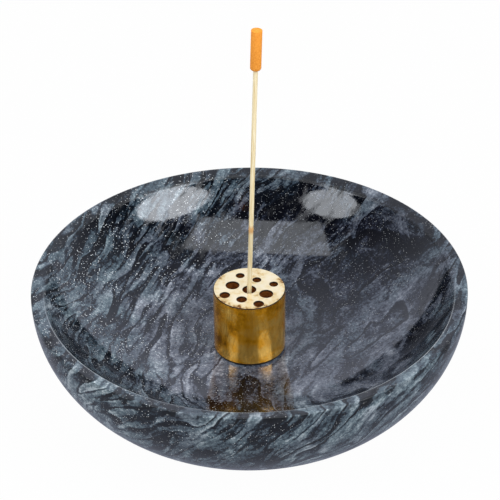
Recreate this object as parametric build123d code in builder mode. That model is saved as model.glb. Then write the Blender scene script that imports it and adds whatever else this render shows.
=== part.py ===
from build123d import *

import os
from math import asin, cos, degrees, radians, sin, sqrt, tan

# Incense stick holder: a polished stone bowl, a turned brass block with nine stick holes, and one stick of incense.
# Millimetres, +Z up. The origin is on the bowl's axis, on the surface that the bowl stands on. The viewer is at -Y.

# Stone bowl
BOWL_DIAMETER = 120.0       # at the widest ring
INSIDE_DEPTH = 21.4         # from the flat seat in the middle up to the rim's inner edge
FLOOR_THICKNESS = 10.5      # stone under the seat
RIM_WIDTH = 3.6             # between the rim's two edges
RIM_RISE = 1.0              # the rim slopes up outwards by this much
RIM_ROUNDING = 0.6          # on both edges of the rim
WIDEST_BELOW_RIM = 1.4      # the widest ring lies this far below the rim's outer edge
BULGE_REACH = 51.6          # radial half axis of the outer wall's ellipse
BASE_INSET = 19.2           # from the widest ring in to the edge of the flat base
BASE_ROUNDING = 1.0
SEAT_MARGIN = 1.0           # flat stone around the foot of the brass
FLOOR_REACH = 19.0          # from the seat's edge out to where the floor turns up into the wall
FLOOR_CURVE = 76.0          # radius of the gently dished floor

# Felt pads under the bowl
FELT_COUNT = 4
FELT_DIAMETER = 12.0
FELT_THICKNESS = 1.5
FELT_EDGE_MARGIN = 4.0      # stone between a pad and the edge of the base

# Brass holder and the thin pad glued under it
HOLDER_DIAMETER = 20.0
HOLDER_HEIGHT = 19.0
HOLDER_CHAMFER = 0.4
HOLDER_PAD_THICKNESS = 0.6
HOLDER_PAD_INSET = 0.3      # the pad is this much smaller than the brass all round

# Stick holes: three rows of three, one size to a row
WIDE_HOLE_DIAMETER = 3.6    # middle row
WIDE_HOLE_DEPTH = 12.0
MEDIUM_HOLE_DIAMETER = 2.65  # front row
MEDIUM_HOLE_DEPTH = 11.0
FINE_HOLE_DIAMETER = 2.2    # back row
FINE_HOLE_DEPTH = 10.0
HOLE_EDGE_MARGIN = 1.45     # brass that centred rows would leave between a corner hole and the side of the block
HOLE_EDGE_BREAK = 0.15      # chamfer at each mouth
HOLE_ROWS_TURN = -24.6      # degrees, how far the rows are turned from the X axis
HOLE_ROWS_FORWARD = 0.7     # the rows are drilled this far off centre, towards the viewer

# Incense stick
STICK_LENGTH = 91.8         # from its foot in the hole to the cut top
STICK_LEAN = 1.75           # degrees, towards +X
CORE_DIAMETER = 1.25
COAT_DIAMETER = 2.9
COAT_LENGTH = 11.3
COAT_ROUNDING = 0.7         # at the coat's lower end

# Heights and radii that follow
base_z = FELT_THICKNESS
seat_z = base_z + FLOOR_THICKNESS
rim_inner_z = seat_z + INSIDE_DEPTH
rim_outer_z = rim_inner_z + RIM_RISE
widest_z = rim_outer_z - WIDEST_BELOW_RIM
holder_foot_z = seat_z + HOLDER_PAD_THICKNESS
holder_top_z = holder_foot_z + HOLDER_HEIGHT
widest_r = BOWL_DIAMETER / 2
base_r = widest_r - BASE_INSET
seat_r = HOLDER_DIAMETER / 2 + SEAT_MARGIN

# The outer wall is an ellipse that stands upright at the widest ring and passes through the base's edge
bulge_centre_r = widest_r - BULGE_REACH
base_cosine = (base_r - bulge_centre_r) / BULGE_REACH
bulge_height = (widest_z - base_z) / sqrt(1 - base_cosine**2)
base_angle = -degrees(asin((widest_z - base_z) / bulge_height))
rim_angle = degrees(asin(WIDEST_BELOW_RIM / bulge_height))
rim_outer_r = bulge_centre_r + BULGE_REACH * cos(radians(rim_angle))
rim_inner_r = rim_outer_r - RIM_WIDTH
floor_slope = degrees(asin(FLOOR_REACH / FLOOR_CURVE))

os.makedirs("parts", exist_ok=True)

# Stone bowl, turned about the Z axis
with BuildPart() as stone_bowl:
    with BuildSketch(Plane.XZ):
        with BuildLine():
            bulge_centre = (bulge_centre_r, widest_z)
            bulge_arc = rim_angle - base_angle
            EllipticalCenterArc(bulge_centre, BULGE_REACH, bulge_height, base_angle, arc_size=bulge_arc)
            rim = Line((rim_outer_r, rim_outer_z), (rim_inner_r, rim_inner_z))
            seat = Line((0, seat_z), (seat_r, seat_z))
            floor = JernArc(seat @ 1, seat % 1, FLOOR_CURVE, floor_slope)
            TangentArc(floor @ 1, rim @ 1, tangent=floor % 1)
            Polyline(seat @ 0, (0, base_z), (base_r, base_z))
        make_face()
    revolve(axis=Axis.Z)
    rim_edges = stone_bowl.edges().filter_by(GeomType.CIRCLE).sort_by(Axis.Z)[-2:]
    fillet(rim_edges, RIM_ROUNDING)
    base_edge = stone_bowl.edges().filter_by(GeomType.CIRCLE).sort_by(Axis.Z)[0]
    fillet(base_edge, BASE_ROUNDING)
stone_bowl.part.label = "stone_bowl"
export_step(stone_bowl.part, "parts/stone_bowl.step")

# Felt pads in a ring under the base
felt_ring_r = base_r - FELT_EDGE_MARGIN - FELT_DIAMETER / 2
for number in range(FELT_COUNT):
    bearing = radians(360 / FELT_COUNT * (number + 0.5))
    with BuildPart() as felt_pad:
        with BuildSketch(Plane.XY):
            with Locations((felt_ring_r * cos(bearing), felt_ring_r * sin(bearing))):
                Circle(FELT_DIAMETER / 2)
        extrude(amount=FELT_THICKNESS)
    felt_pad.part.label = f"felt_pad_{number + 1}"
    export_step(felt_pad.part, f"parts/felt_pad_{number + 1}.step")

# Brass holder with its blind stick holes, drilled down from the top
corner_hole_r = max(MEDIUM_HOLE_DIAMETER, FINE_HOLE_DIAMETER) / 2
hole_pitch = (HOLDER_DIAMETER / 2 - HOLE_EDGE_MARGIN - corner_hole_r) / sqrt(2)
hole_steps = (-hole_pitch, 0, hole_pitch)
hole_rows = (
    (-hole_pitch, MEDIUM_HOLE_DIAMETER, MEDIUM_HOLE_DEPTH),
    (0, WIDE_HOLE_DIAMETER, WIDE_HOLE_DEPTH),
    (hole_pitch, FINE_HOLE_DIAMETER, FINE_HOLE_DEPTH),
)
holder_top = Plane((0, -HOLE_ROWS_FORWARD, holder_top_z)).rotated((0, 0, HOLE_ROWS_TURN))
with BuildPart() as brass_holder:
    with BuildSketch(Plane.XY.offset(holder_foot_z)):
        Circle(HOLDER_DIAMETER / 2)
    extrude(amount=HOLDER_HEIGHT)
    chamfer(brass_holder.edges().filter_by(GeomType.CIRCLE), HOLDER_CHAMFER)
    for row_step, hole_diameter, hole_depth in hole_rows:
        with BuildSketch(holder_top):
            with Locations(*[(step, row_step) for step in hole_steps]):
                Circle(hole_diameter / 2)
        extrude(amount=-hole_depth, mode=Mode.SUBTRACT)
    top_face = brass_holder.faces().sort_by(Axis.Z)[-1]
    chamfer([mouth.edges()[0] for mouth in top_face.inner_wires()], HOLE_EDGE_BREAK)
brass_holder.part.label = "brass_holder"
export_step(brass_holder.part, "parts/brass_holder.step")

# Thin pad glued under the brass
with BuildPart() as holder_pad:
    with BuildSketch(Plane.XY.offset(seat_z)):
        Circle(HOLDER_DIAMETER / 2 - HOLDER_PAD_INSET)
    extrude(amount=HOLDER_PAD_THICKNESS)
holder_pad.part.label = "holder_pad"
export_step(holder_pad.part, "parts/holder_pad.step")

# Incense stick: it leans towards +X, through the middle of the centre hole's mouth, and its foot is cut level
lean = radians(STICK_LEAN)
stick_floor_z = holder_top_z - WIDE_HOLE_DEPTH
stick_foot = (-WIDE_HOLE_DEPTH * tan(lean), -HOLE_ROWS_FORWARD, stick_floor_z)
stick_plane = Plane(origin=stick_foot, x_dir=(cos(lean), 0, -sin(lean)), z_dir=(sin(lean), 0, cos(lean)))
with BuildPart() as bamboo_core:
    with BuildSketch(stick_plane.offset(-CORE_DIAMETER)):
        Circle(CORE_DIAMETER / 2)
    extrude(amount=CORE_DIAMETER + STICK_LENGTH)
    split(bisect_by=Plane.XY.offset(stick_floor_z), keep=Keep.TOP)
bamboo_core.part.label = "bamboo_core"
export_step(bamboo_core.part, "parts/bamboo_core.step")

# Incense paste around the upper end of the bamboo
with BuildPart() as incense_coat:
    with BuildSketch(stick_plane.offset(STICK_LENGTH - COAT_LENGTH)):
        Circle(COAT_DIAMETER / 2)
        Circle(CORE_DIAMETER / 2, mode=Mode.SUBTRACT)
    extrude(amount=COAT_LENGTH)
    outer_rings = incense_coat.edges().filter_by(GeomType.CIRCLE).sort_by(SortBy.RADIUS)[-2:]
    fillet(outer_rings.sort_by(Axis.Z)[0], COAT_ROUNDING)
incense_coat.part.label = "incense_coat"
export_step(incense_coat.part, "parts/incense_coat.step")
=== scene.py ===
from math import asin, cos, pi, radians, sin, sqrt, tan

import bmesh
import bpy
from mathutils import Matrix, Vector


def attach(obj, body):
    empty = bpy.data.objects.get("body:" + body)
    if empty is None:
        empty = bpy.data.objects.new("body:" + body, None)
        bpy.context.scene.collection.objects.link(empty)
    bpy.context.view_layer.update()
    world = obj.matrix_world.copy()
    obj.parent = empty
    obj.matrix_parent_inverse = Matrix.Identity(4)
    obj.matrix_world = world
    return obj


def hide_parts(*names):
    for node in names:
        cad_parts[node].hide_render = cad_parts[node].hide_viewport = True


# Incense stick holder: a polished stone bowl on felt pads, a drilled brass block on a rubber pad, and one stick of
# incense. Metres, +Z up, in the CAD model's frame. The viewer is at -Y.

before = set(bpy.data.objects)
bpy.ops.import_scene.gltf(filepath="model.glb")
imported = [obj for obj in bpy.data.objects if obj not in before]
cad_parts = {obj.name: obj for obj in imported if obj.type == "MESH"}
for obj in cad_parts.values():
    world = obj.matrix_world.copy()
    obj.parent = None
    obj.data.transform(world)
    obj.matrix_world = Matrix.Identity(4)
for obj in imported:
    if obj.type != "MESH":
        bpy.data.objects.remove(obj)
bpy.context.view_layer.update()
scene = bpy.context.scene
scene.view_settings.view_transform = "Standard"

MM = 0.001
UP = Vector((0, 0, 1))

# Sizes in millimetres, as in the CAD model, apart from the edges, the bamboo's knot and the paste over its end

# Stone bowl
BASE_Z, SEAT_Z = 1.5, 12.0
RIM_INNER_Z, RIM_OUTER_Z, WIDEST_Z = 33.4, 34.4, 33.0
WIDEST_R, BASE_R, SEAT_R = 60.0, 40.8, 11.0
BULGE_REACH, RIM_WIDTH = 51.6, 3.6
FLOOR_REACH, FLOOR_CURVE = 19.0, 76.0
RIM_OUTER_ROUNDING, RIM_INNER_ROUNDING, BASE_ROUNDING = 0.6, 0.3, 0.7

# Brass holder
HOLDER_FOOT_Z, HOLDER_TOP_Z = 12.6, 31.6
HOLDER_R, HOLDER_CHAMFER = 10.0, 0.2
HOLE_PITCH, HOLE_EDGE_BREAK = 5.109, 0.15
STICK_HOLE_DEPTH = 12.0
HOLE_ROWS = (               # place of the row, radius and depth of its holes
    (-HOLE_PITCH, 1.325, 11.0),
    (0, 1.8, STICK_HOLE_DEPTH),
    (HOLE_PITCH, 1.1, 10.0),
)
ROWS_CENTRE = Vector((0, -0.7, HOLDER_TOP_Z))
ROWS_TURN = Matrix.Rotation(radians(-24.6), 4, "Z")

# Pads
RUBBER_R, RUBBER_ROUNDING = 9.7, 0.12
FELT_COUNT, FELT_R, FELT_RING_R, FELT_ROUNDING = 4, 6.0, 30.8, 0.4

# Incense stick
STICK_FLOOR_Z, STICK_LENGTH = 19.6, 91.8
STICK_LEAN = radians(1.75)
CORE_R = 0.625
KNOT_R, KNOT_HEIGHT = 0.70, 31.9
KNOT_BELOW, KNOT_ABOVE, KNOT_ROUNDING = 0.8, 0.5, 0.3
COAT_R, COAT_LENGTH = 1.45, 11.3
COAT_FOOT_ROUNDING, COAT_TOP_ROUNDING = 0.7, 0.12
PASTE_CAP = 0.4             # paste over the cut end of the bamboo

# How finely the meshes are divided: round an axis, along the arcs of the bowl's profile, and over a rounded edge
BOWL_SEGMENTS, HOLDER_SEGMENTS, HOLE_SEGMENTS = 256, 192, 48
PAD_SEGMENTS, BAMBOO_SEGMENTS, PASTE_SEGMENTS = 96, 24, 64
BULGE_STEPS, WALL_STEPS, FLOOR_STEPS = 30, 24, 12
BOWL_EDGE_STEPS, EDGE_STEPS = 5, 4
MERGE_DISTANCE, LEVEL_RISE = 1e-4, 1e-6     # points this close are one, and an edge that rises less is level

# Camera: the photograph's viewpoint
CAMERA_PLACE = Vector((0, -0.4007, 0.3145))
CAMERA_AIM = Vector((0.00028, 0, 0.0443))
CAMERA_ROLL = radians(-0.48)
CAMERA_LENS = 127.66

camera = bpy.data.objects.new("camera", bpy.data.cameras.new("camera"))
camera.data.sensor_width = 36
camera.data.lens = CAMERA_LENS
camera.data.clip_start = 0.01
camera.data.clip_end = 50
aimed = (CAMERA_AIM - CAMERA_PLACE).to_track_quat("-Z", "Y").to_matrix()
rolled = aimed @ Matrix.Rotation(CAMERA_ROLL, 3, "Z")
camera.matrix_world = Matrix.Translation(CAMERA_PLACE) @ rolled.to_4x4()
scene.collection.objects.link(camera)
scene.camera = camera


def srgb(code):
    """Linear colour of an sRGB hex value such as "#a1b2c3"."""
    channels = [int(code[i:i + 2], 16) / 255 for i in (1, 3, 5)]
    return [c / 12.92 if c <= 0.04045 else ((c + 0.055) / 1.055) ** 2.4 for c in channels] + [1.0]


def set_inputs(tree, node, inputs):
    """Gives a node's sockets their values or links."""
    for socket, value in inputs.items():
        if isinstance(value, bpy.types.NodeSocket):
            tree.links.new(value, node.inputs[socket])
        else:
            node.inputs[socket].default_value = value


def add(tree, kind, inputs=None, stops=None, **settings):
    """Adds a shader node. inputs sets its sockets, and stops gives a colour ramp's places and colours."""
    node = tree.nodes.new("ShaderNode" + kind)
    for name, value in settings.items():
        setattr(node, name, value)
    set_inputs(tree, node, inputs or {})
    for number, (position, colour) in enumerate(stops or ()):
        elements = node.color_ramp.elements
        stop = elements[number] if number < 2 else elements.new(position)
        stop.position, stop.color = position, srgb(colour)
    return node


# Sockets of the Mix node: for colours, and for numbers
FACTOR, FIRST, SECOND, MIXED = 0, 6, 7, 2
FIRST_NUMBER, SECOND_NUMBER, MIXED_NUMBER = 2, 3, 0


def new_material(name):
    """An empty material with its tree and its principled shader."""
    material = bpy.data.materials.new(name)
    material.use_nodes = True
    return material, material.node_tree, material.node_tree.nodes["Principled BSDF"]


# Dark veined marble, ground and polished: a slate-grey body, blue-grey and plum by turns, with long black seams that
# have a pale edge, wisps and black patches along the same sheets, and salt-and-pepper crystals, all under a clear
# gloss. Its patterns are in millimetres.
SHEET_NORMAL = Vector((0.68, -0.22, -0.70)).normalized()
sheet_level = SHEET_NORMAL.cross(UP).normalized()
sheet_axes = Matrix((SHEET_NORMAL, sheet_level, SHEET_NORMAL.cross(sheet_level))).transposed()
sheet_turn = sheet_axes.to_euler()


def along_sheets(tree, stone_place, size, detail, roughness=0.6, start=(0, 0, 0)):
    """Noise drawn out along the marble's sheets. size is its size through them and along them."""
    space = add(tree, "Mapping", {"Vector": stone_place, "Rotation": sheet_turn, "Scale": size, "Location": start},
                vector_type="TEXTURE")
    noise = add(tree, "TexNoise", {"Vector": space.outputs[0], "Scale": 1, "Detail": detail, "Roughness": roughness})
    return noise.outputs["Fac"]


marble, tree, shader = new_material("polished_dark_marble")
place = add(tree, "TexCoord").outputs["Object"]
millimetres = add(tree, "VectorMath", {0: place, "Scale": 1 / MM}, operation="SCALE").outputs[0]

# Two bends of the sheets: slow ones about 38 mm long, and short ragged ones about 8 mm long
bent = millimetres
for length, reach, detail in ((38, 16, 1), (8, 1.8, 3)):
    bend = add(tree, "TexNoise", {"Vector": millimetres, "Scale": 1 / length, "Detail": detail, "Roughness": 0.6})
    offset = add(tree, "VectorMath", {0: bend.outputs["Color"], 1: (0.5, 0.5, 0.5)}, operation="SUBTRACT")
    moved = add(tree, "VectorMath", {0: offset.outputs[0], "Scale": reach}, operation="SCALE")
    bent = add(tree, "VectorMath", {0: bent, 1: moved.outputs[0]}, operation="ADD").outputs[0]

# The stone's shade starts at its middle, and each pattern lifts or lowers it. First come whole parts of the block:
# their centres, the distances at which they start and are full, and how far they lift. Most are the stone's own tone,
# and the ones marked below are painted shade and painted reflection.
MIDDLE_SHADE = 0.5
STONE_TONES_AND_PAINTED_SHADE = (
    ((36, 14, 24), 50, 18, -0.05),
    ((-22, -26, 14), 26, 10, 0.03),
    ((-50, 16, 26), 20, 6, 0.05),
    ((-36, 2, 16), 20, 6, -0.05),
    ((28, -28, 15), 30, 10, 0.03),
    # painted reflection: the floor in front of the brass, darker where the brass is mirrored in it
    ((0, -27, 13), 18, 10, -0.09),
    # painted shade: the two dark crescents inside the front of the rim, where the bowl mirrors its own walls
    ((-34, -24, 34), 19, 8, -0.14),
    ((24, -36, 36), 19, 9, -0.14),
    # lighter outer skin: partly its own tone, and partly a painted reflection of the floor
    ((0, 0, 60), 63, 69, 0.075),        # the outer skin of the bowl
    ((0, 58, 28), 45, 15, -0.05),
    ((37, 28, 25), 17, 7, -0.15),
    ((-28, 42, 26), 26, 8, -0.05),
    ((3, 37, 18), 24, 8, 0.09),
)
shade = MIDDLE_SHADE
for centre, start, full, lift in STONE_TONES_AND_PAINTED_SHADE:
    away = add(tree, "VectorMath", {0: bent, 1: centre}, operation="DISTANCE")
    part = add(tree, "MapRange", {"Value": away.outputs["Value"], "From Min": start, "From Max": full, "To Max": lift})
    shade = add(tree, "Math", {0: shade, 1: part.outputs[0]}, operation="ADD").outputs[0]

# Clouds and mottles along the sheets, and the grain of the stone
GRAIN_SIZE = 0.8
clouds = along_sheets(tree, bent, (13, 34, 24), 4)
mottles = along_sheets(tree, bent, (2.6, 6, 5), 3, start=(9, 5, 0))
grain_noise = add(tree, "TexNoise", {"Vector": millimetres, "Scale": 1 / GRAIN_SIZE, "Detail": 3, "Roughness": 0.75})
stone_grain = grain_noise.outputs["Fac"]
for pattern, weight in ((clouds, 0.70), (mottles, 0.50), (stone_grain, 0.65)):
    centred = add(tree, "Math", {0: pattern, 1: 0.5}, operation="SUBTRACT")
    shade = add(tree, "Math", {0: centred.outputs[0], 1: weight, 2: shade}, operation="MULTIPLY_ADD").outputs[0]

# Seams and marks are fainter in the middle of the block
BLOCK_MIDDLE = (14, -4, 14)
from_middle = add(tree, "VectorMath", {0: bent, 1: BLOCK_MIDDLE}, operation="DISTANCE").outputs["Value"]
strength = add(tree, "MapRange", {"Value": from_middle, "From Min": 22, "From Max": 46, "To Min": 0.66}).outputs[0]

# Seams: lines of equal height in a pattern about 8 mm through the sheets, each black with a pale edge. They weaken and
# come back about every 10 mm.
seam_height = along_sheets(tree, bent, (8.5, 48, 32), 2, 0.5)
seams = add(tree, "ValToRGB", {"Fac": seam_height}, stops=[
    (0.27, "#808080"), (0.32, "#a8a8a8"), (0.38, "#c0c0c0"), (0.405, "#b0b0b0"), (0.424, "#101010"),
    (0.440, "#101010"), (0.452, "#d4d4d4"), (0.49, "#bcbcbc"), (0.535, "#b0b0b0"), (0.556, "#000000"),
    (0.574, "#000000"), (0.590, "#d2d2d2"), (0.63, "#bcbcbc"), (0.70, "#a4a4a4"), (0.74, "#808080")])
seam_lift = add(tree, "Math", {0: seams.outputs[0], 1: 0.5}, operation="SUBTRACT")
breaks = add(tree, "TexNoise", {"Vector": bent, "Scale": 1 / 10, "Detail": 2})
seam_weight = add(tree, "MapRange", {"Value": breaks.outputs["Fac"], "From Min": 0.38, "From Max": 0.60,
                                     "To Min": 0.26, "To Max": 0.66})
seam_part = add(tree, "Math", {0: seam_weight.outputs[0], 1: strength}, operation="MULTIPLY")
shade = add(tree, "Math", {0: seam_lift.outputs[0], 1: seam_part.outputs[0], 2: shade},
            operation="MULTIPLY_ADD").outputs[0]

# Marks along the sheets, fewer and fainter in the middle of the block: pale wisps, dark wisps and black patches. Each
# has its size, the start and the detail of its noise, the levels between which it fades in, and its lift.
MARKS = (
    ((3.0, 17, 11), (60, 0, 20), 5, 0.54, 0.70, 0.17),
    ((2.4, 15, 10), (30, 0, 0), 5, 0.555, 0.60, -0.16),
    ((5.0, 19, 12), (47, 7, 3), 6, 0.56, 0.61, -0.20),
)
more_outside = add(tree, "MapRange", {"Value": from_middle, "From Min": 22, "From Max": 44, "To Min": -0.05,
                                      "To Max": 0.02})
for size, start, detail, low, high, lift in MARKS:
    marks = along_sheets(tree, bent, size, detail, start=start)
    level = add(tree, "Math", {0: marks, 1: more_outside.outputs[0]}, operation="ADD")
    part = add(tree, "MapRange", {"Value": level.outputs[0], "From Min": low, "From Max": high, "To Max": lift})
    shade = add(tree, "Math", {0: part.outputs[0], 1: strength, 2: shade}, operation="MULTIPLY_ADD").outputs[0]

# All of it spread by a tenth about the middle shade
shade = add(tree, "MapRange", {"Value": shade, "To Min": -0.05, "To Max": 1.05}, clamp=False).outputs[0]

# Plum-grey in the core of the block and in clouds about 11 mm wide, blue-grey elsewhere
BLOCK_CORE = (12, 6, 14)
from_core = add(tree, "VectorMath", {0: bent, 1: BLOCK_CORE}, operation="DISTANCE")
core = add(tree, "MapRange", {"Value": from_core.outputs["Value"], "From Min": 60, "From Max": 38})
plum_clouds = add(tree, "TexNoise", {"Vector": bent, "Scale": 1 / 11, "Detail": 3})
plum_lift = add(tree, "MapRange", {"Value": plum_clouds.outputs["Fac"], "From Min": 0.35, "From Max": 0.65,
                                   "To Min": -0.5, "To Max": 0.5})
plum_part = add(tree, "Math", {0: core.outputs[0], 1: plum_lift.outputs[0]}, operation="ADD", use_clamp=True)
blue_grey = add(tree, "ValToRGB", {"Fac": shade}, stops=[
    (0.16, "#02050b"), (0.33, "#0d141b"), (0.40, "#222c36"), (0.46, "#3a4750"), (0.56, "#4c5a63"), (0.66, "#69787f"),
    (0.82, "#a6b1b6")])
plum_grey = add(tree, "ValToRGB", {"Fac": shade}, stops=[
    (0.16, "#04050b"), (0.33, "#0f121b"), (0.40, "#252934"), (0.46, "#3c414b"), (0.56, "#4f545f"), (0.66, "#6b707a"),
    (0.82, "#9fa4ad")])
stone = add(tree, "Mix", {FACTOR: plum_part.outputs[0], FIRST: blue_grey.outputs[0], SECOND: plum_grey.outputs[0]},
            data_type="RGBA").outputs[MIXED]

# Crystals up to 0.33 mm across, one in each cell of 0.4 mm: black ones and pale ones, in swarms, plainest on the left
CELL_SIZE, CRYSTAL_RADIUS = 0.4, 0.42       # in millimetres, and as a share of the cell
cells = add(tree, "TexVoronoi", {"Vector": millimetres, "Scale": 1 / CELL_SIZE})
kinds = add(tree, "SeparateColor", {0: cells.outputs["Color"]})
swarm = add(tree, "TexNoise", {"Vector": millimetres, "Scale": 1 / 8, "Detail": 2})
swarm_part = add(tree, "MapRange", {"Value": swarm.outputs["Fac"], "From Min": 0.40, "From Max": 0.58, "To Min": 0.25})
across = add(tree, "SeparateXYZ", {0: bent})
left_part = add(tree, "MapRange", {"Value": across.outputs["X"], "From Min": 15, "From Max": -40, "To Min": 0.25})
crystal_part = add(tree, "Math", {0: swarm_part.outputs[0], 1: left_part.outputs[0]}, operation="MULTIPLY")
for kind, rarity, colour in (("Green", 0.30, "#04060a"), ("Red", 0.50, "#f4f7f8")):
    radius = add(tree, "MapRange", {"Value": kinds.outputs[kind], "From Min": rarity, "From Max": 1.0,
                                    "To Max": CRYSTAL_RADIUS})
    inside = add(tree, "Math", {0: radius.outputs[0], 1: cells.outputs["Distance"]}, operation="SUBTRACT")
    shown = add(tree, "MapRange", {"Value": inside.outputs[0], "From Max": 0.10})
    amount = add(tree, "Math", {0: shown.outputs[0], 1: crystal_part.outputs[0]}, operation="MULTIPLY")
    stone = add(tree, "Mix", {FACTOR: amount.outputs[0], FIRST: stone, SECOND: srgb(colour)},
                data_type="RGBA").outputs[MIXED]

# The rim's inner edge is painted pale towards the front: a painted highlight along the edge
RIM_HIGHLIGHT_R, RIM_HIGHLIGHT_HALF_WIDTH, RIM_HIGHLIGHT_Z = 56.5, 0.14, 32.6
flat_place = add(tree, "VectorMath", {0: millimetres, 1: (1, 1, 0)}, operation="MULTIPLY")
from_axis = add(tree, "VectorMath", {0: flat_place.outputs[0]}, operation="LENGTH").outputs["Value"]
along = add(tree, "SeparateXYZ", {0: millimetres})
beside = add(tree, "Math", {0: from_axis, 1: RIM_HIGHLIGHT_R, 2: RIM_HIGHLIGHT_HALF_WIDTH}, operation="COMPARE")
above = add(tree, "Math", {0: along.outputs["Z"], 1: RIM_HIGHLIGHT_Z}, operation="GREATER_THAN")
on_edge = add(tree, "Math", {0: beside.outputs[0], 1: above.outputs[0]}, operation="MULTIPLY")
forward = add(tree, "MapRange", {"Value": along.outputs["Y"], "From Min": 0, "From Max": -30, "To Max": 0.45})
painted_rim_highlight = add(tree, "Math", {0: on_edge.outputs[0], 1: forward.outputs[0]}, operation="MULTIPLY")
# painted highlight: a pale line on the rim's inner edge, strongest at the front
stone = add(tree, "Mix", {FACTOR: painted_rim_highlight.outputs[0], FIRST: stone, SECOND: srgb("#d3d9dc")},
            data_type="RGBA").outputs[MIXED]

# Streaks of softer stone take less polish, so mirrored lamps look uneven. The rim is dull, as if only honed. The grains
# stand out by a few thousandths of a millimetre.
RIM_MIDDLE_R, RIM_FOOT_Z, RIM_DULLNESS = 58.1, 32.4, 0.4
softness = along_sheets(tree, bent, (2.2, 7, 5), 4, 0.65)
polish = add(tree, "MapRange", {"Value": softness, "From Min": 0.48, "From Max": 0.68, "To Min": 0.02, "To Max": 0.32})
rim_gap = add(tree, "Math", {0: from_axis, 1: RIM_MIDDLE_R}, operation="SUBTRACT")
rim_distance = add(tree, "Math", {0: rim_gap.outputs[0]}, operation="ABSOLUTE")
honed = add(tree, "MapRange", {"Value": rim_distance.outputs[0], "From Min": 2.3, "From Max": 2.0,
                               "To Max": RIM_DULLNESS})
at_rim = add(tree, "Math", {0: along.outputs["Z"], 1: RIM_FOOT_Z}, operation="GREATER_THAN")
dullness = add(tree, "Math", {0: honed.outputs[0], 1: at_rim.outputs[0], 2: polish.outputs[0]},
               operation="MULTIPLY_ADD")
relief = add(tree, "Bump", {"Distance": 0.006 * MM, "Height": stone_grain})
set_inputs(tree, shader, {"Base Color": stone, "Roughness": dullness.outputs[0], "Normal": relief.outputs[0],
                          "IOR": 1.56})

# Brass, turned on a lathe and polished: warm yellow metal with brown tarnish. At the lower right front it is painted
# paler and glossier, a painted highlight where a lamp's upright streak falls. The fine rings of the tool run round the
# block, so lamps draw out into upright streaks. They are drawn 0.3 mm apart, coarser than real ones, so that they show.
PAINTED_STREAK_SPOT = (7 * MM, -7 * MM, 17 * MM)
RING_SPACING = 0.3 * MM
brass, tree, shader = new_material("polished_turned_brass")
place = add(tree, "TexCoord").outputs["Object"]
tarnish = add(tree, "TexNoise", {"Vector": place, "Scale": 1 / (4 * MM), "Detail": 4, "Roughness": 0.6})
ring_space = add(tree, "Mapping", {"Vector": place, "Scale": (30 * MM, 30 * MM, RING_SPACING)}, vector_type="TEXTURE")
tool_rings = add(tree, "TexNoise", {"Vector": ring_space.outputs[0], "Scale": 1, "Detail": 2}).outputs["Fac"]
ring_lift = add(tree, "Math", {0: tool_rings, 1: 0.5}, operation="SUBTRACT")
ringed = add(tree, "Math", {0: ring_lift.outputs[0], 1: 0.2, 2: tarnish.outputs["Fac"]}, operation="MULTIPLY_ADD")
# painted highlight: paler and glossier near this spot at the lower right front
from_painted_streak = add(tree, "VectorMath", {0: place, 1: PAINTED_STREAK_SPOT}, operation="DISTANCE")
painted_streak = add(tree, "MapRange", {"Value": from_painted_streak.outputs["Value"], "From Min": 14 * MM, "From Max": 4 * MM,
                                 "To Min": 0.02, "To Max": 0.16})
clean_and_painted_shine = add(tree, "Math", {0: ringed.outputs[0], 1: painted_streak.outputs[0]}, operation="ADD").outputs[0]
brass_colour = add(tree, "ValToRGB", {"Fac": clean_and_painted_shine}, stops=[(0.32, "#a86a08"), (0.48, "#fdad1a"), (0.68, "#ffc65e")])
dullness = add(tree, "MapRange", {"Value": clean_and_painted_shine, "From Min": 0.32, "From Max": 0.68, "To Min": 0.24,
                                  "To Max": 0.14})
relief = add(tree, "Bump", {"Distance": 0.003 * MM, "Height": tool_rings})
round_block = add(tree, "Tangent", direction_type="RADIAL", axis="Z")
set_inputs(tree, shader, {"Base Color": brass_colour.outputs[0], "Roughness": dullness.outputs[0],
                          "Normal": relief.outputs[0], "Tangent": round_block.outputs[0], "Metallic": 0.78,
                          "Anisotropic": 0.72, "Anisotropic Rotation": 0.25})

# The same brass, faced and buffed on top, where it mirrors the white studio. Its colour is painted paler than the
# side's, a lit copy of the brass that stands in for light on the top, and brown tarnish is left near its edge. The
# tool's marks are rings, drawn as coarse as those on the side.
faced_brass, tree, shader = new_material("buffed_faced_brass")
place = add(tree, "TexCoord").outputs["Object"]
tarnish = add(tree, "TexNoise", {"Vector": place, "Scale": 1 / (3 * MM), "Detail": 3, "Roughness": 0.6})
flat_place = add(tree, "VectorMath", {0: place, 1: (1, 1, 0)}, operation="MULTIPLY")
from_axis = add(tree, "VectorMath", {0: flat_place.outputs[0]}, operation="LENGTH").outputs["Value"]
near_edge = add(tree, "MapRange", {"Value": from_axis, "From Min": 7.0 * MM, "From Max": 9.4 * MM, "To Max": -0.12})
clean_and_painted_shine = add(tree, "Math", {0: tarnish.outputs["Fac"], 1: near_edge.outputs[0]}, operation="ADD").outputs[0]
# painted light: these pale colours are a lit copy of the brass for the upward face
painted_pale_faced_colour = add(tree, "ValToRGB", {"Fac": clean_and_painted_shine}, stops=[
    (0.26, "#8a5a1e"), (0.33, "#e9ca8d"), (0.45, "#f9e6b9"), (0.62, "#fcedca")])
dullness = add(tree, "MapRange", {"Value": clean_and_painted_shine, "From Min": 0.26, "From Max": 0.62, "To Min": 0.30,
                                  "To Max": 0.14})
facing_turns = add(tree, "Math", {0: from_axis, 1: 1 / RING_SPACING}, operation="MULTIPLY")
facing_marks = add(tree, "TexNoise", {"W": facing_turns.outputs[0], "Scale": 1, "Detail": 2}, noise_dimensions="1D")
relief = add(tree, "Bump", {"Distance": 0.003 * MM, "Height": facing_marks.outputs["Fac"]})
set_inputs(tree, shader, {"Base Color": painted_pale_faced_colour.outputs[0], "Roughness": dullness.outputs[0],
                          "Normal": relief.outputs[0], "Metallic": 0.65})
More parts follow.
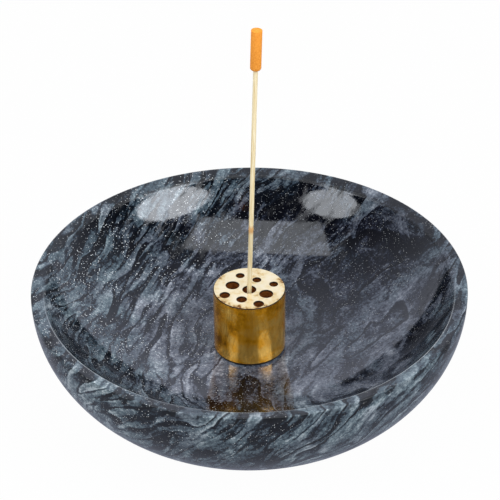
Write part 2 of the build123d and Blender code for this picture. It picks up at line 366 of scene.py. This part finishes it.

# The same brass in the drilled holes and on the top edge, never polished: oxidised red-brown, and near-black at the
# top.
# That black is soot at the holes' mouths, and on the top edge it is a painted dark reflection.
DARK_TOP_STARTS_Z, DARK_TOP_FULL_Z = 30.9, 31.4
bore_brass, tree, shader = new_material("oxidised_drilled_brass")
place = add(tree, "TexCoord").outputs["Object"]
oxide = add(tree, "TexNoise", {"Vector": place, "Scale": 1 / (0.8 * MM), "Detail": 3}).outputs["Fac"]
oxide_colour = add(tree, "ValToRGB", {"Fac": oxide}, stops=[(0.3, "#84441a"), (0.7, "#c07838")])
along = add(tree, "SeparateXYZ", {0: place})
# near-black at the top: soot at the holes' mouths, and painted shade on the top edge
soot_and_painted_edge_shade = add(tree, "MapRange", {"Value": along.outputs["Z"], "From Min": DARK_TOP_STARTS_Z * MM,
                              "From Max": DARK_TOP_FULL_Z * MM})
sooty_and_painted_edge_shade = add(tree, "Mix", {FACTOR: soot_and_painted_edge_shade.outputs[0], FIRST: oxide_colour.outputs[0], SECOND: srgb("#1c100a")},
            data_type="RGBA")
crust = add(tree, "MapRange", {"Value": oxide, "From Min": 0.3, "From Max": 0.7, "To Min": 0.52, "To Max": 0.38})
relief = add(tree, "Bump", {"Distance": 0.04 * MM, "Height": oxide})
set_inputs(tree, shader, {"Base Color": sooty_and_painted_edge_shade.outputs[MIXED], "Roughness": crust.outputs[0],
                          "Normal": relief.outputs[0], "Metallic": 0.6})

# Split bamboo, rounded and sanded: pale straw with darker fibres along the stick, and a tan ring at its knot
bamboo, tree, shader = new_material("sanded_split_bamboo")
place = add(tree, "TexCoord").outputs["Object"]
fibre_space = add(tree, "Mapping", {"Vector": place, "Scale": (0.25 * MM, 0.25 * MM, 7 * MM)}, vector_type="TEXTURE")
fibre = add(tree, "TexNoise", {"Vector": fibre_space.outputs[0], "Scale": 1, "Detail": 3}).outputs["Fac"]
straw = add(tree, "ValToRGB", {"Fac": fibre}, stops=[(0.28, "#c9a566"), (0.40, "#ead39d"), (0.72, "#fff3d4")])
along = add(tree, "SeparateXYZ", {0: place})
knot_gap = add(tree, "Math", {0: along.outputs["Z"], 1: (STICK_FLOOR_Z + KNOT_HEIGHT) * MM}, operation="SUBTRACT")
from_knot = add(tree, "Math", {0: knot_gap.outputs[0]}, operation="ABSOLUTE")
knot = add(tree, "MapRange", {"Value": from_knot.outputs[0], "From Min": 1.6 * MM, "From Max": 0.5 * MM, "To Max": 0.8})
knotted = add(tree, "Mix", {FACTOR: knot.outputs[0], FIRST: straw.outputs[0], SECOND: srgb("#dca25a")},
              data_type="RGBA")
sanded = add(tree, "MapRange", {"Value": fibre, "From Min": 0.28, "From Max": 0.72, "To Min": 0.58, "To Max": 0.44})
relief = add(tree, "Bump", {"Distance": 0.04 * MM, "Height": fibre})
set_inputs(tree, shader, {"Base Color": knotted.outputs[MIXED], "Roughness": sanded.outputs[0],
                          "Normal": relief.outputs[0], "IOR": 1.5})


def grained_material(name, size, detail, raggedness, dark, pale, roughness, height, sockets):
    """A matt material with a fine grain. size and height are the grain's, in millimetres, dark and pale are its levels
    and colours, and roughness goes from the dark to the pale."""
    material, tree, shader = new_material(name)
    place = add(tree, "TexCoord").outputs["Object"]
    noise = add(tree, "TexNoise", {"Vector": place, "Scale": 1 / (size * MM), "Detail": detail,
                                   "Roughness": raggedness})
    grain = noise.outputs["Fac"]
    colour = add(tree, "ValToRGB", {"Fac": grain}, stops=[dark, pale])
    matt = add(tree, "MapRange", {"Value": grain, "From Min": dark[0], "From Max": pale[0], "To Min": roughness[0],
                                  "To Max": roughness[1]})
    relief = add(tree, "Bump", {"Distance": height * MM, "Height": grain})
    set_inputs(tree, shader, {"Base Color": colour.outputs[0], "Roughness": matt.outputs[0],
                              "Normal": relief.outputs[0], **sockets})
    return material


# Black rubber sheet, cut with a punch: dull and nearly black, with a little dust
rubber = grained_material("punched_black_rubber", 0.8, 3, 0.5, (0.35, "#17171a"), (0.7, "#2a2a2c"), (0.70, 0.85), 0.03,
                          {"IOR": 1.52})

# Incense paste, rolled on and dried: matt orange with a grain of wood powder, drawn coarse enough to show
paste = grained_material("dried_orange_incense_paste", 0.4, 3, 0.5, (0.3, "#e68c26"), (0.7, "#fba53c"), (0.88, 0.74),
                         0.08, {"IOR": 1.45})

# Pressed wool felt: matt dark grey with a fuzzy surface that catches a faint sheen. Its fuzz is coarser than real
# fibres, so that it shows.
felt = grained_material("pressed_grey_felt", 0.5, 4, 0.7, (0.3, "#26262a"), (0.7, "#4a4a4f"), (1.0, 0.88), 0.15,
                        {"Sheen Weight": 0.25})


def finish_piece(name, bm, body_name, node, material, sharp=None):
    """Turns a bmesh in millimetres into a piece that rides on a body and stands for a CAD node. Its edges stay sharp
    from the angle sharp, in degrees."""
    bmesh.ops.scale(bm, verts=bm.verts[:], vec=(MM, MM, MM))
    mesh = bpy.data.meshes.new(name)
    bm.to_mesh(mesh)
    bm.free()
    mesh.shade_smooth()
    if sharp is not None:
        mesh.set_sharp_from_angle(angle=radians(sharp))
    mesh.materials.append(material)
    made = bpy.data.objects.new(name, mesh)
    scene.collection.objects.link(made)
    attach(made, body_name)
    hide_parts(node)
    return made


def round_corner(bm, corner, reach, steps):
    """Rounds a corner of a profile, as far along it as reach."""
    bmesh.ops.bevel(bm, geom=[corner], offset=reach, segments=steps, profile=0.5, affect="VERTICES", material=-1)


def turn_round(bm, segments):
    """Turns a profile about the Z axis into a closed skin."""
    bmesh.ops.spin(bm, geom=bm.verts[:] + bm.edges[:], cent=(0, 0, 0), axis=UP, angle=2 * pi, steps=segments,
                   use_merge=True)
    bmesh.ops.remove_doubles(bm, verts=bm.verts[:], dist=MERGE_DISTANCE)
    bmesh.ops.recalc_face_normals(bm, faces=bm.faces[:])


# Stone bowl: one profile in the XZ plane, turned about the Z axis. The outer wall is part of an ellipse, drawn as a
# circle and then squeezed, and the inner wall is an arc that runs on smoothly from the dished floor to the rim.
bulge_r = WIDEST_R - BULGE_REACH
bulge_height = (WIDEST_Z - BASE_Z) / sqrt(1 - ((BASE_R - bulge_r) / BULGE_REACH) ** 2)
base_angle = -asin((WIDEST_Z - BASE_Z) / bulge_height)
rim_angle = asin((RIM_OUTER_Z - WIDEST_Z) / bulge_height)
rim_inner_r = bulge_r + BULGE_REACH * cos(rim_angle) - RIM_WIDTH
floor_slope = asin(FLOOR_REACH / FLOOR_CURVE)
floor_end = Vector((SEAT_R + FLOOR_REACH, 0, SEAT_Z + FLOOR_CURVE * (1 - cos(floor_slope))))
chord = Vector((rim_inner_r, 0, RIM_INNER_Z)) - floor_end
floor_normal = Vector((-sin(floor_slope), 0, cos(floor_slope)))
wall_curve = chord.length_squared / (2 * chord.dot(floor_normal))
wall_centre = floor_end + wall_curve * floor_normal
wall_turn = 2 * asin(chord.length / 2 / wall_curve)

SPIN_DOWN = (0, 1, 0)
SPIN_UP = (0, -1, 0)

bm = bmesh.new()
bulge_centre = Vector((bulge_r, 0, WIDEST_Z))
bulge_start = bm.verts.new(bulge_centre + BULGE_REACH * Vector((cos(base_angle), 0, sin(base_angle))))
bulge = bmesh.ops.spin(bm, geom=[bulge_start], cent=bulge_centre, axis=SPIN_UP, angle=rim_angle - base_angle,
                       steps=BULGE_STEPS)
rim_outer = bulge["geom_last"][0]
bmesh.ops.scale(bm, verts=bm.verts[:], vec=(1, 1, bulge_height / BULGE_REACH),
                space=Matrix.Translation(-bulge_centre))
rim_inner = bm.verts.new((rim_inner_r, 0, RIM_INNER_Z))
bm.edges.new((rim_outer, rim_inner))
wall = bmesh.ops.spin(bm, geom=[rim_inner], cent=wall_centre, axis=SPIN_DOWN, angle=wall_turn, steps=WALL_STEPS)
floor = bmesh.ops.spin(bm, geom=wall["geom_last"][:1], cent=(SEAT_R, 0, SEAT_Z + FLOOR_CURVE), axis=SPIN_DOWN,
                       angle=floor_slope, steps=FLOOR_STEPS)
seat_edge = floor["geom_last"][0]
bm.edges.new((seat_edge, bm.verts.new((0, 0, SEAT_Z))))
bm.edges.new((bulge_start, bm.verts.new((0, 0, BASE_Z))))
round_corner(bm, rim_outer, RIM_OUTER_ROUNDING, BOWL_EDGE_STEPS)
round_corner(bm, rim_inner, RIM_INNER_ROUNDING, BOWL_EDGE_STEPS)
round_corner(bm, bulge_start, BASE_ROUNDING, BOWL_EDGE_STEPS)
turn_round(bm, BOWL_SEGMENTS)
finish_piece("polished_bowl", bm, "bowl", "stone_bowl", marble)


def edges_at(verts):
    """The edges at some vertices, each once, in a fixed order."""
    return list(dict.fromkeys(edge for vert in verts for edge in vert.link_edges))


def draw_down(bm, ring, radius, new_radius, centre, drop):
    """Extrudes a ring of edges down and to a new radius, and returns the new ring."""
    grown = bmesh.ops.extrude_edge_only(bm, edges=ring)["geom"]
    verts = [item for item in grown if isinstance(item, bmesh.types.BMVert)]
    share = new_radius / radius
    bmesh.ops.scale(bm, verts=verts, vec=(share, share, 1), space=Matrix.Translation(-centre))
    bmesh.ops.translate(bm, verts=verts, vec=(0, 0, -drop))
    return [item for item in grown if isinstance(item, bmesh.types.BMEdge) and all(v in verts for v in item.verts)]


# Brass holder: the drilled top face first, then its holes and its side are drawn down from it
TURNED, FACED, BORED = 0, 1, 2      # the places of the three brass materials

bm = bmesh.new()
rings = []
top_centre = Vector((0, 0, HOLDER_TOP_Z))
outline = bmesh.ops.create_circle(bm, segments=HOLDER_SEGMENTS, radius=HOLDER_R - HOLDER_CHAMFER,
                                  matrix=Matrix.Translation(top_centre))["verts"]
outer_ring = edges_at(outline)
for row, radius, depth in HOLE_ROWS:
    for column in (-HOLE_PITCH, 0, HOLE_PITCH):
        centre = ROWS_TURN @ Vector((column, row, 0)) + ROWS_CENTRE
        mouth = bmesh.ops.create_circle(bm, segments=HOLE_SEGMENTS, radius=radius + HOLE_EDGE_BREAK,
                                        matrix=Matrix.Translation(centre))["verts"]
        rings.append((edges_at(mouth), centre, radius, depth))
bmesh.ops.triangle_fill(bm, edges=bm.edges[:], use_beauty=True, use_dissolve=False, normal=UP)
top_faces = set(bm.faces)
for face in top_faces:
    face.material_index = FACED
for ring, centre, radius, depth in rings:
    ring = draw_down(bm, ring, radius + HOLE_EDGE_BREAK, radius, centre, HOLE_EDGE_BREAK)
    ring = draw_down(bm, ring, radius, radius, centre, depth - HOLE_EDGE_BREAK)
    bmesh.ops.edgeloop_fill(bm, edges=ring)
side_ring = draw_down(bm, outer_ring, HOLDER_R - HOLDER_CHAMFER, HOLDER_R, top_centre, HOLDER_CHAMFER)
for face in set(bm.faces) - top_faces:
    face.material_index = BORED
unpolished_faces = set(bm.faces)
side_height = HOLDER_TOP_Z - HOLDER_FOOT_Z - 2 * HOLDER_CHAMFER
side_ring = draw_down(bm, side_ring, HOLDER_R, HOLDER_R, top_centre, side_height)
side_ring = draw_down(bm, side_ring, HOLDER_R, HOLDER_R - HOLDER_CHAMFER, top_centre, HOLDER_CHAMFER)
bmesh.ops.edgeloop_fill(bm, edges=side_ring)
for face in set(bm.faces) - unpolished_faces:
    face.material_index = TURNED
bmesh.ops.recalc_face_normals(bm, faces=bm.faces[:])
drilled_brass = finish_piece("drilled_brass", bm, "holder", "brass_holder", brass, sharp=30)
for finish in (faced_brass, bore_brass):
    drilled_brass.data.materials.append(finish)


def rounded_disc(radius, low, high, rounding, centre=(0, 0)):
    """A flat disc with rounded edges."""
    bm = bmesh.new()
    bmesh.ops.create_cone(bm, cap_ends=True, segments=PAD_SEGMENTS, radius1=radius, radius2=radius, depth=high - low,
                          matrix=Matrix.Translation((*centre, (low + high) / 2)))
    rims = [edge for edge in bm.edges if abs(edge.verts[0].co.z - edge.verts[1].co.z) < LEVEL_RISE]
    bmesh.ops.bevel(bm, geom=rims, offset=rounding, segments=EDGE_STEPS, profile=0.5, affect="EDGES", material=-1)
    return bm


# Rubber pad under the brass, and felt pads under the bowl
rubber_pad = finish_piece("rubber_pad", rounded_disc(RUBBER_R, SEAT_Z, HOLDER_FOOT_Z, RUBBER_ROUNDING), "holder",
                          "holder_pad", rubber, sharp=40)
for number in range(FELT_COUNT):
    bearing = radians(360 / FELT_COUNT * (number + 0.5))
    spot = (FELT_RING_R * cos(bearing), FELT_RING_R * sin(bearing))
    felt_disc = finish_piece(f"felt_disc_{number + 1}", rounded_disc(FELT_R, 0, BASE_Z, FELT_ROUNDING, spot), "bowl",
                             f"felt_pad_{number + 1}", felt)


def turned(bm, spots, closed, roundings, segments):
    """Joins a few spots of a profile into a line, rounds some of its corners and turns it about the Z axis."""
    corners = [bm.verts.new(spot) for spot in spots]
    for first, second in zip(corners, corners[1:] + corners[:1] if closed else corners[1:]):
        bm.edges.new((first, second))
    for number, rounding in roundings:
        round_corner(bm, corners[number], rounding, EDGE_STEPS)
    turn_round(bm, segments)


# Incense stick: upright at the origin first, then leant over along its pulling axis. The bamboo's foot is cut level.
stick_foot = Vector((-STICK_HOLE_DEPTH * tan(STICK_LEAN), ROWS_CENTRE.y, STICK_FLOOR_Z))
stick_place = Matrix.Translation(stick_foot) @ Matrix.Rotation(STICK_LEAN, 4, "Y")
bamboo_top = STICK_LENGTH - PASTE_CAP
coat_inner_top = COAT_LENGTH - PASTE_CAP

bm = bmesh.new()
turned(bm, [(0, 0, -CORE_R), (CORE_R, 0, -CORE_R), (CORE_R, 0, KNOT_HEIGHT - KNOT_BELOW), (KNOT_R, 0, KNOT_HEIGHT),
            (CORE_R, 0, KNOT_HEIGHT + KNOT_ABOVE), (CORE_R, 0, bamboo_top), (0, 0, bamboo_top)],
       False, [(3, KNOT_ROUNDING)], BAMBOO_SEGMENTS)
bmesh.ops.transform(bm, verts=bm.verts[:], matrix=stick_place)
cut = bmesh.ops.bisect_plane(bm, geom=bm.verts[:] + bm.edges[:] + bm.faces[:], plane_co=(0, 0, STICK_FLOOR_Z),
                             plane_no=UP, clear_inner=True)
bmesh.ops.edgeloop_fill(bm, edges=[item for item in cut["geom_cut"] if isinstance(item, bmesh.types.BMEdge)])
bmesh.ops.recalc_face_normals(bm, faces=bm.faces[:])
finish_piece("bamboo_stick", bm, "stick", "bamboo_core", bamboo, sharp=40)

bm = bmesh.new()
turned(bm, [(CORE_R, 0, 0), (COAT_R, 0, 0), (COAT_R, 0, COAT_LENGTH), (0, 0, COAT_LENGTH), (0, 0, coat_inner_top),
            (CORE_R, 0, coat_inner_top)],
       True, [(1, COAT_FOOT_ROUNDING), (2, COAT_TOP_ROUNDING)], PASTE_SEGMENTS)
coat_place = stick_place @ Matrix.Translation((0, 0, STICK_LENGTH - COAT_LENGTH))
bmesh.ops.transform(bm, verts=bm.verts[:], matrix=coat_place)
finish_piece("incense_paste", bm, "stick", "incense_coat", paste, sharp=40)

# White floor: to the camera it is nearly all its own white, and the rest takes the soft shadow. Mirrored in the object
# it is dimmer and slightly blue.
SEEN_WHITE, MIRRORED_WHITE = 0.98, 0.85     # how much of the floor is its own white
MIRRORED_GLOW = 0.35                        # how bright that white is in a reflection
FLOOR_DROP = 0.02                           # millimetres under the felt pads
FLOOR_HALF_SIZE = 4                         # metres

floor_white, tree, shader = new_material("white_studio_floor")
set_inputs(tree, shader, {"Base Color": srgb("#bcbcbc"), "Roughness": 1.0, "Specular IOR Level": 0.0})
rays = add(tree, "LightPath").outputs
seen = add(tree, "Math", {0: rays["Is Camera Ray"], 1: rays["Is Transmission Ray"]}, operation="MAXIMUM")
seen_share = add(tree, "Math", {0: seen.outputs[0], 1: SEEN_WHITE}, operation="MULTIPLY")
mirrored_share = add(tree, "Math", {0: rays["Is Glossy Ray"], 1: MIRRORED_WHITE}, operation="MULTIPLY")
share = add(tree, "Math", {0: seen_share.outputs[0], 1: mirrored_share.outputs[0]}, operation="MAXIMUM")
glow_strength = add(tree, "Math", {0: rays["Is Glossy Ray"], 1: MIRRORED_GLOW - 1, 2: 1.0}, operation="MULTIPLY_ADD")
glow_colour = add(tree, "Mix", {FACTOR: rays["Is Glossy Ray"], FIRST: srgb("#ffffff"), SECOND: srgb("#dce4ff")},
                  data_type="RGBA")
glow = add(tree, "Emission", {"Color": glow_colour.outputs[MIXED], "Strength": glow_strength.outputs[0]})
surface = add(tree, "MixShader", {0: share.outputs[0], 1: shader.outputs[0], 2: glow.outputs[0]})
set_inputs(tree, tree.nodes["Material Output"], {"Surface": surface.outputs[0]})

bm = bmesh.new()
bmesh.ops.create_grid(bm, x_segments=1, y_segments=1, size=FLOOR_HALF_SIZE,
                      matrix=Matrix.Translation((0, 0, -FLOOR_DROP * MM)))
floor_mesh = bpy.data.meshes.new("studio_floor")
bm.to_mesh(floor_mesh)
bm.free()
floor_mesh.materials.append(floor_white)
studio_floor = bpy.data.objects.new("studio_floor", floor_mesh)
scene.collection.objects.link(studio_floor)

# White studio: full white to the camera, and softer as a source of light. Mirrored in the object it is white behind
# the bowl, fades to nearly dark overhead and behind the viewer, and is slightly blue.
world = bpy.data.worlds.new("white_studio")
scene.world = world
world.use_nodes = True
tree = world.node_tree
rays = add(tree, "LightPath").outputs
backwards = add(tree, "SeparateXYZ", {0: add(tree, "TexCoord").outputs["Generated"]}).outputs["Y"]
mirrored = add(tree, "MapRange", {"Value": backwards, "From Min": -0.1, "From Max": 0.75, "To Min": 0.05,
                                  "To Max": 1.0})
shining = add(tree, "MapRange", {"Value": backwards, "From Min": -1, "From Max": 1, "To Min": 0.98, "To Max": 0.44})
seen = add(tree, "Math", {0: rays["Is Camera Ray"], 1: rays["Is Transmission Ray"]}, operation="MAXIMUM")
lit = add(tree, "Mix", {FACTOR: seen.outputs[0], FIRST_NUMBER: shining.outputs[0], SECOND_NUMBER: 1.0},
          data_type="FLOAT")
studio_strength = add(tree, "Mix", {FACTOR: rays["Is Glossy Ray"], FIRST_NUMBER: lit.outputs[MIXED_NUMBER],
                                    SECOND_NUMBER: mirrored.outputs[0]}, data_type="FLOAT")
studio_colour = add(tree, "Mix", {FACTOR: rays["Is Glossy Ray"], FIRST: srgb("#ffffff"), SECOND: srgb("#e6ecff")},
                    data_type="RGBA")
set_inputs(tree, tree.nodes["Background"], {"Color": studio_colour.outputs[MIXED],
                                            "Strength": studio_strength.outputs[MIXED_NUMBER]})

LIT_POINT = Vector((0, 0, 0.03))
LAMP_DISTANCE = 1.2
LAMP_COLOUR = srgb("#f3f8ff")[:3]


def softbox(name, shape, azimuth, elevation, tilt, width, height, radiance):
    """A studio lamp, seen from the bowl at an azimuth from the viewer and an elevation, and tilted, in degrees."""
    lamp = bpy.data.lights.new(name, "AREA")
    lamp.shape = shape
    lamp.size, lamp.size_y = width, height
    lamp.color = LAMP_COLOUR
    lamp.energy = radiance * pi * width * height * (pi / 4 if shape == "ELLIPSE" else 1)
    side, rise = radians(azimuth), radians(elevation)
    toward = Vector((sin(side) * cos(rise), -cos(side) * cos(rise), sin(rise)))
    turn = toward.to_track_quat("Z", "Y").to_matrix() @ Matrix.Rotation(radians(tilt), 3, "Z")
    hung = bpy.data.objects.new(name, lamp)
    hung.matrix_world = Matrix.Translation(LIT_POINT + LAMP_DISTANCE * toward) @ turn.to_4x4()
    hung.visible_camera = False
    scene.collection.objects.link(hung)


softbox("softbox_right", "ELLIPSE", 53.3, 43.6, -15, 0.80, 0.43, 8.2)
softbox("softbox_left", "ELLIPSE", -57, 42.8, 32, 0.58, 0.41, 5.6)
softbox("panel_over", "RECTANGLE", -26.6, 82.4, 18.6, 1.15, 0.56, 2.2)
